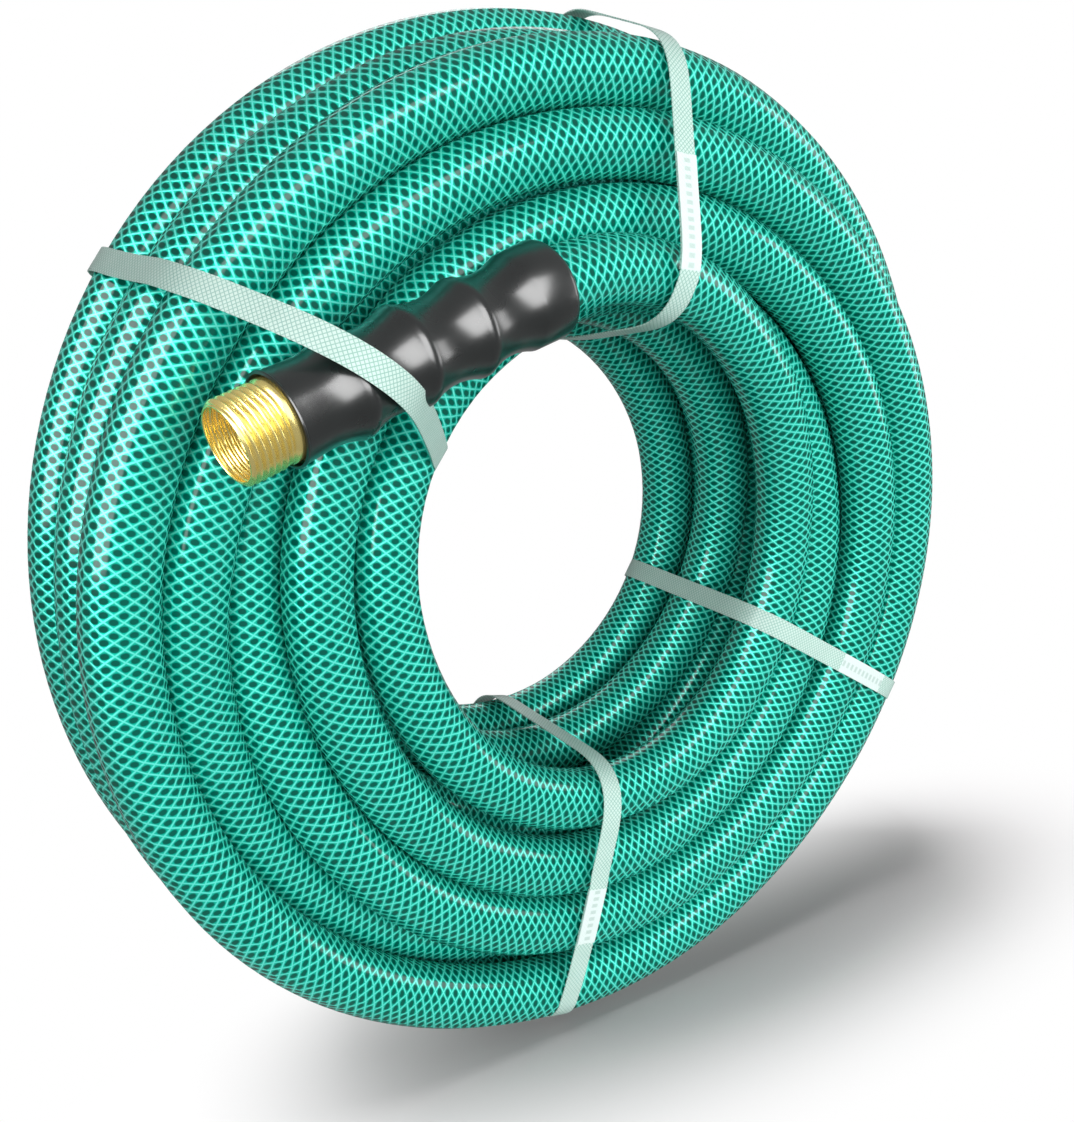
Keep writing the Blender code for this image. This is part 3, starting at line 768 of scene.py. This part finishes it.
def hull2d(points):
    # counter-clockwise outline of a set of points in a plane
    ordered = sorted(set(points))

    def half(source):
        chain = []
        for point in source:
            while len(chain) > 1:
                (ax, ay), (bx, by) = chain[-2], chain[-1]
                if (bx - ax) * (point[1] - ay) - (by - ay) * (point[0] - ax) > 0:
                    break
                chain.pop()
            chain.append(point)
        return chain[:-1]

    return half(ordered) + half(ordered[::-1])


def strapLoop(place):
    # the tight loop round everything that crosses the strap's plane, and the plane
    look = strapLook
    centre = hoseLook["coilCentre"]
    rim, hole = math.radians(place["rim"]), math.radians(place["hole"])
    outer = Vector((look["rimRadius"] * math.cos(rim), 0, look["rimRadius"] * math.sin(rim)))
    inner = Vector((look["holeRadius"] * math.cos(hole), 0, look["holeRadius"] * math.sin(hole)))
    out = (outer - inner).normalized()
    normal = out.cross(Vector((0, 1, 0))).normalized()
    start = inner + Vector((centre.x, 0, centre.z))
    spots = hosePoints - np.array(start)
    offset = spots @ np.array(normal)
    reach = spots @ np.array(out)
    crossing = np.nonzero((offset[:-1] * offset[1:] <= 0) & (reach[:-1] > look["farSide"]))[0]
    away = look["clearance"] + look["thickness"]
    radius = hoseLook["diameter"] / 2 + away
    points = []
    for index in crossing:
        share = offset[index] / (offset[index] - offset[index + 1] + 1e-12)
        spot = hosePoints[index] * (1 - share) + hosePoints[index + 1] * share - np.array(start)
        u, y = float(spot @ np.array(out)), float(spot[1])
        for step in range(look["turnSpots"]):
            turn = math.tau * step / look["turnSpots"]
            points.append((u + radius * math.cos(turn), y + radius * math.sin(turn)))
    for tail, forward in endPlaces.values():
        for step in range(look["gripSpots"]):
            turn = math.tau * step / look["gripSpots"]
            spoke = forward.to_track_quat("Z", "Y") @ Vector((math.cos(turn), math.sin(turn), 0))
            spoke = tail + spoke * (gripShape["ridgeRadius"] + away) - start
            slide = -spoke.dot(normal) / forward.dot(normal)
            spot = spoke + forward * slide
            if 0 < slide < gripShape["length"] and spot.dot(out) > look["farSide"]:
                points.append((spot.dot(out), spot.y))
    loop = hull2d([(round(u, 6), round(y, 6)) for u, y in points])
    return [start + out * u + Vector((0, y, 0)) for u, y in loop], start, out, normal


def evenLoop(loop, step):
    closed = np.array([tuple(point) for point in loop + loop[:1]])
    lengths = pathLengths(closed)
    even = np.linspace(0, lengths[-1], int(lengths[-1] / step))
    return np.stack([np.interp(even, lengths, closed[:, k]) for k in range(3)], 1)[:-1], float(lengths[-1])


def loosened(points, share, normal, place):
    # eases the tight loop outwards and rounds its corners, never into the hose;
    # share runs from 0 at the hole to 1 at the rim
    outward = np.cross(np.roll(points, -1, 0) - np.roll(points, 1, 0), np.array(normal))
    outward /= np.linalg.norm(outward, axis=1)[:, None]
    outward *= np.sign(((points - points.mean(0)) * outward).sum(1))[:, None]
    slack = place["holeSlack"] * (1 - share) + place["rimSlack"] * share
    eased = points + outward * slack[:, None]
    half = strapLook["easeSteps"]
    kernel = softKernel(2 * half + 3)
    smooth = sum(part * np.roll(eased, k - half, 0) for k, part in enumerate(kernel))
    lift = ((smooth - points) * outward).sum(1)
    eased = np.where(lift[:, None] > 0, smooth, points)
    eased = 0.25 * np.roll(eased, 1, 0) + 0.5 * eased + 0.25 * np.roll(eased, -1, 0)
    eased[:, 2] = np.maximum(eased[:, 2], strapLook["overFloor"])
    return eased


def makeStrap(name, place):
    look = strapLook
    loop, start, out, normal = strapLoop(place)
    points, length = evenLoop(loop, look["step"])
    count = len(points)
    step = length / count
    reach = (points - np.array(start)) @ np.array(out)
    front = points[:, 1] < points[:, 1].mean()
    # begin at the weld, and run past the start again for its overlap
    begin = int(np.argmin(np.abs(reach - place["weldFrom"]) + (front != place["weldFront"])))
    share = (reach - reach.min()) / (reach.max() - reach.min())
    points = loosened(points, share, normal, place)
    ahead = np.clip((points[:, 1].mean() - points[:, 1]) / look["bowDepth"], 0, 1)
    points += np.outer(4 * place["bow"] * share * (1 - share) * ahead, normal)
    overlap = int(place["weldLength"] / step)
    order = [(begin + k) % count for k in range(count + overlap)]
    centre = points.mean(0)
    bm = bmesh.new()
    layer = bm.loops.layers.uv.new("UVMap")
    half = look["width"] / 2
    low = []
    for k, index in enumerate(order):
        after, before = points[(index + 1) % count], points[index - 1]
        tangent = Vector(after - before).normalized()
        outward = tangent.cross(normal).normalized()
        if outward.dot(Vector(points[index] - centre)) < 0:
            outward = -outward
        settled = smoothStep((k - count + look["lapSteps"]) / look["lapSteps"])
        lap = look["thickness"] * look["lapRise"] * settled
        low.append(bm.verts.new(Vector(points[index]) + outward * lap - normal * half))
    edges = [bm.edges.new(pair) for pair in zip(low, low[1:])]
    made = bmesh.ops.extrude_edge_only(bm, edges=edges)
    high = [item for item in made["geom"] if isinstance(item, bmesh.types.BMVert)]
    bmesh.ops.translate(bm, vec=normal * 2 * half, verts=high)
    # u is the way along from the start of the weld, v the way across
    along = {vert: (k - count) * step for k, vert in enumerate(low)}
    for face in bm.faces:
        for corner in face.loops:
            vert = corner.vert
            if vert in along:
                corner[layer].uv = (along[vert], 0.0)
            else:
                mates = [edge.other_vert(vert) for edge in vert.link_edges]
                corner[layer].uv = (next(along[mate] for mate in mates if mate in along), 2 * half)
    bmesh.ops.recalc_face_normals(bm, faces=bm.faces)
    bmesh.ops.solidify(bm, geom=bm.faces[:], thickness=look["thickness"])
    mesh = meshFrom(bm, name)
    strap = placeMesh(name.replace("strap", "wrap"), mesh, wovenStrap)
    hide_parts(name)
    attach(strap, "hose")


for strapName, strapPlace in strapPlaces.items():
    makeStrap(strapName, strapPlace)
print("straps made")


def washerFinish():
    finish = Finish("washerRubber", Roughness=0.7)
    cloud = finish.noise(finish.place("Object"), 300.0, 4.0)
    finish.set("Base Color", finish.blend(cloud, (0.03, 0.03, 0.03), (0.06, 0.06, 0.06)))
    finish.set("Normal", finish.bump(cloud, 0.0001, 0.3))
    return finish.material


def plainVinylFinish():
    finish = Finish("vinylUnderGrip", Roughness=0.3)
    cloud = finish.noise(finish.place("Object"), 40.0, 2.0)
    finish.set("Base Color", finish.blend(cloud, (0.004, 0.26, 0.18), (0.006, 0.36, 0.25)))
    return finish.material


def dress(nodeName, finish):
    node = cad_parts[nodeName]
    node.data.materials.clear()
    node.data.materials.append(finish)


dress("female_washer", washerFinish())
underGrip = plainVinylFinish()
for nodeName in ("hose_male_end", "hose_female_end"):
    dress(nodeName, underGrip)
for nodeName in ("male_ferrule", "female_ferrule", "female_tailpiece"):
    dress(nodeName, rolledBrass)

stageLook = {
    "floorSize": 40.0,
    # the floor keeps its shadow in a flat oval and fades to white beyond it
    "shadowCentre": (0.085, -0.05, 0.0),
    "shadowSquash": (1.0, 3.1, 1.0),
    "shadowFrom": 0.10,
    "shadowTo": 0.355,
    "behindFrom": -0.06,  # fades towards the back too
    "behindTo": 0.06,
    "floorTint": (0.33, 0.322, 0.325),  # offsets the green that the hose throws on it
    "floorBounce": 0.12,
    "skyStrength": 0.13,
    "inGloss": 0.28,  # share of the white surroundings that reflections show
}


def floorFinish():
    # catches the shadow near the object and is plain white further out
    finish = Finish("paleFloor", Roughness=0.9, Specular_IOR_Level=0.0)
    camera, glossy, through = (
        finish.node("ShaderNodeLightPath", out=label)
        for label in ("Is Camera Ray", "Is Glossy Ray", "Is Transmission Ray")
    )
    seen = finish.larger(camera, through)
    dim, bounce = (stageLook["inGloss"],) * 3, (stageLook["floorBounce"],) * 3
    finish.set("Base Color", finish.blend(seen, finish.blend(glossy, bounce, dim), stageLook["floorTint"]))
    spot = finish.place("Object")
    offset = finish.node(
        "ShaderNodeVectorMath", {"operation": "SUBTRACT"}, {0: spot, 1: stageLook["shadowCentre"]}
    )
    squashed = finish.node(
        "ShaderNodeVectorMath", {"operation": "MULTIPLY"}, {0: offset, 1: stageLook["shadowSquash"]}
    )
    far = finish.node("ShaderNodeVectorMath", {"operation": "LENGTH"}, {0: squashed}, out=1)
    away = finish.larger(
        finish.step(far, stageLook["shadowFrom"], stageLook["shadowTo"]),
        finish.step(finish.part(spot, "y"), stageLook["behindFrom"], stageLook["behindTo"]),
    )
    white = finish.node(
        "ShaderNodeEmission", {}, {"Color": finish.blend(glossy, (1.0, 1.0, 1.0), dim), "Strength": 1.0}
    )
    shown = finish.larger(seen, glossy)
    mixed = finish.node(
        "ShaderNodeMixShader", {},
        {0: away * shown, 1: Socket(finish, finish.shader.outputs[0]), 2: white},
    )
    out = finish.tree.nodes["Material Output"]
    finish.tree.links.new(mixed.output, out.inputs["Surface"])
    return finish.material


def addStage():
    bm = bmesh.new()
    bmesh.ops.create_grid(bm, x_segments=1, y_segments=1, size=stageLook["floorSize"] / 2)
    floor = placeMesh("studioFloor", meshFrom(bm, "studioFloor"), floorFinish(), 0)
    return floor


def addWorld():
    world = bpy.data.worlds.new("studioWorld")
    world.use_nodes = True
    tree = world.node_tree
    sky = tree.nodes["Background"]
    sky.inputs["Color"].default_value = (1.0, 1.0, 1.0, 1.0)
    rays = tree.nodes.new("ShaderNodeLightPath")
    gloss = tree.nodes.new("ShaderNodeMath")
    gloss.operation = "MULTIPLY"
    gloss.inputs[1].default_value = stageLook["inGloss"]
    tree.links.new(rays.outputs["Is Glossy Ray"], gloss.inputs[0])
    last = gloss.outputs[0]
    for label in ("Is Camera Ray", "Is Transmission Ray"):
        largest = tree.nodes.new("ShaderNodeMath")
        largest.operation = "MAXIMUM"
        tree.links.new(rays.outputs[label], largest.inputs[0])
        tree.links.new(last, largest.inputs[1])
        last = largest.outputs[0]
    strength = tree.nodes.new("ShaderNodeMapRange")
    strength.inputs["To Min"].default_value = stageLook["skyStrength"]
    strength.inputs["To Max"].default_value = 1.0
    tree.links.new(last, strength.inputs["Value"])
    tree.links.new(strength.outputs["Result"], sky.inputs["Strength"])
    stageScene.world = world


studioFloor = addStage()

lampLook = {
    # name: place, aim, width, height, power, what it adds and to which pieces
    "keyShine": ((-1.95, -0.50, 0.85), (0, 0, 0.2), 1.6, 1.6, 66, "gloss", None),
    "keyLeft": ((-1.20, -1.70, 0.60), (0, 0, 0.2), 1.2, 1.1, 36, "diffuse", None),
    "frontSoft": ((0.6, -2.2, 0.6), (0, 0, 0.2), 2.0, 1.1, 54, "diffuse", None),
    "rightSoft": ((1.90, -0.75, 0.65), (0, 0, 0.2), 0.6, 1.1, 9, "both", None),
    "topShine": ((-0.25, -1.75, 1.60), (0, 0, 0.2), 2.2, 0.55, 26, "gloss", (hose,)),
    "topSoft": ((0.1, 0.2, 2.2), (0, 0, 0.2), 1.0, 1.0, 6, "diffuse", None),
    "backSoft": ((0.9, 2.0, 1.0), (0, 0, 0.2), 1.2, 1.2, 8, "both", None),
    "floorSoft": ((-0.70, 0.34, 1.95), (0, 0, 0), 1.4, 1.4, 172, "diffuse", (studioFloor,)),
    "gripShine": ((0.05, -1.50, 0.80), (-0.1, -0.1, 0.3), 1.0, 1.5, 42, "both", (maleGrip, femaleGrip)),
    "brassShine": (
        (-0.6, -1.5, 0.9), (-0.15, -0.1, 0.28), 1.8, 1.8, 22, "both", (maleCoupling, swivelNut)
    ),
}


def addLamps():
    for name, (place, aim, width, height, power, adds, lit) in lampLook.items():
        lamp = bpy.data.lights.new(name, "AREA")
        lamp.shape = "RECTANGLE"
        lamp.size = width
        lamp.size_y = height
        lamp.energy = power
        made = bpy.data.objects.new(name, lamp)
        made.visible_glossy = adds != "diffuse"
        made.visible_diffuse = adds != "gloss"
        made.location = place
        made.rotation_euler = (Vector(place) - Vector(aim)).to_track_quat("Z", "Y").to_euler()
        stageScene.collection.objects.link(made)
        if lit:
            group = bpy.data.collections.new(name)
            for piece in lit:
                group.objects.link(piece)
            made.light_linking.receiver_collection = group


addWorld()
addLamps()
stageScene.view_settings.view_transform = "Standard"
print("stage lit")

bpy.context.view_layer.update()
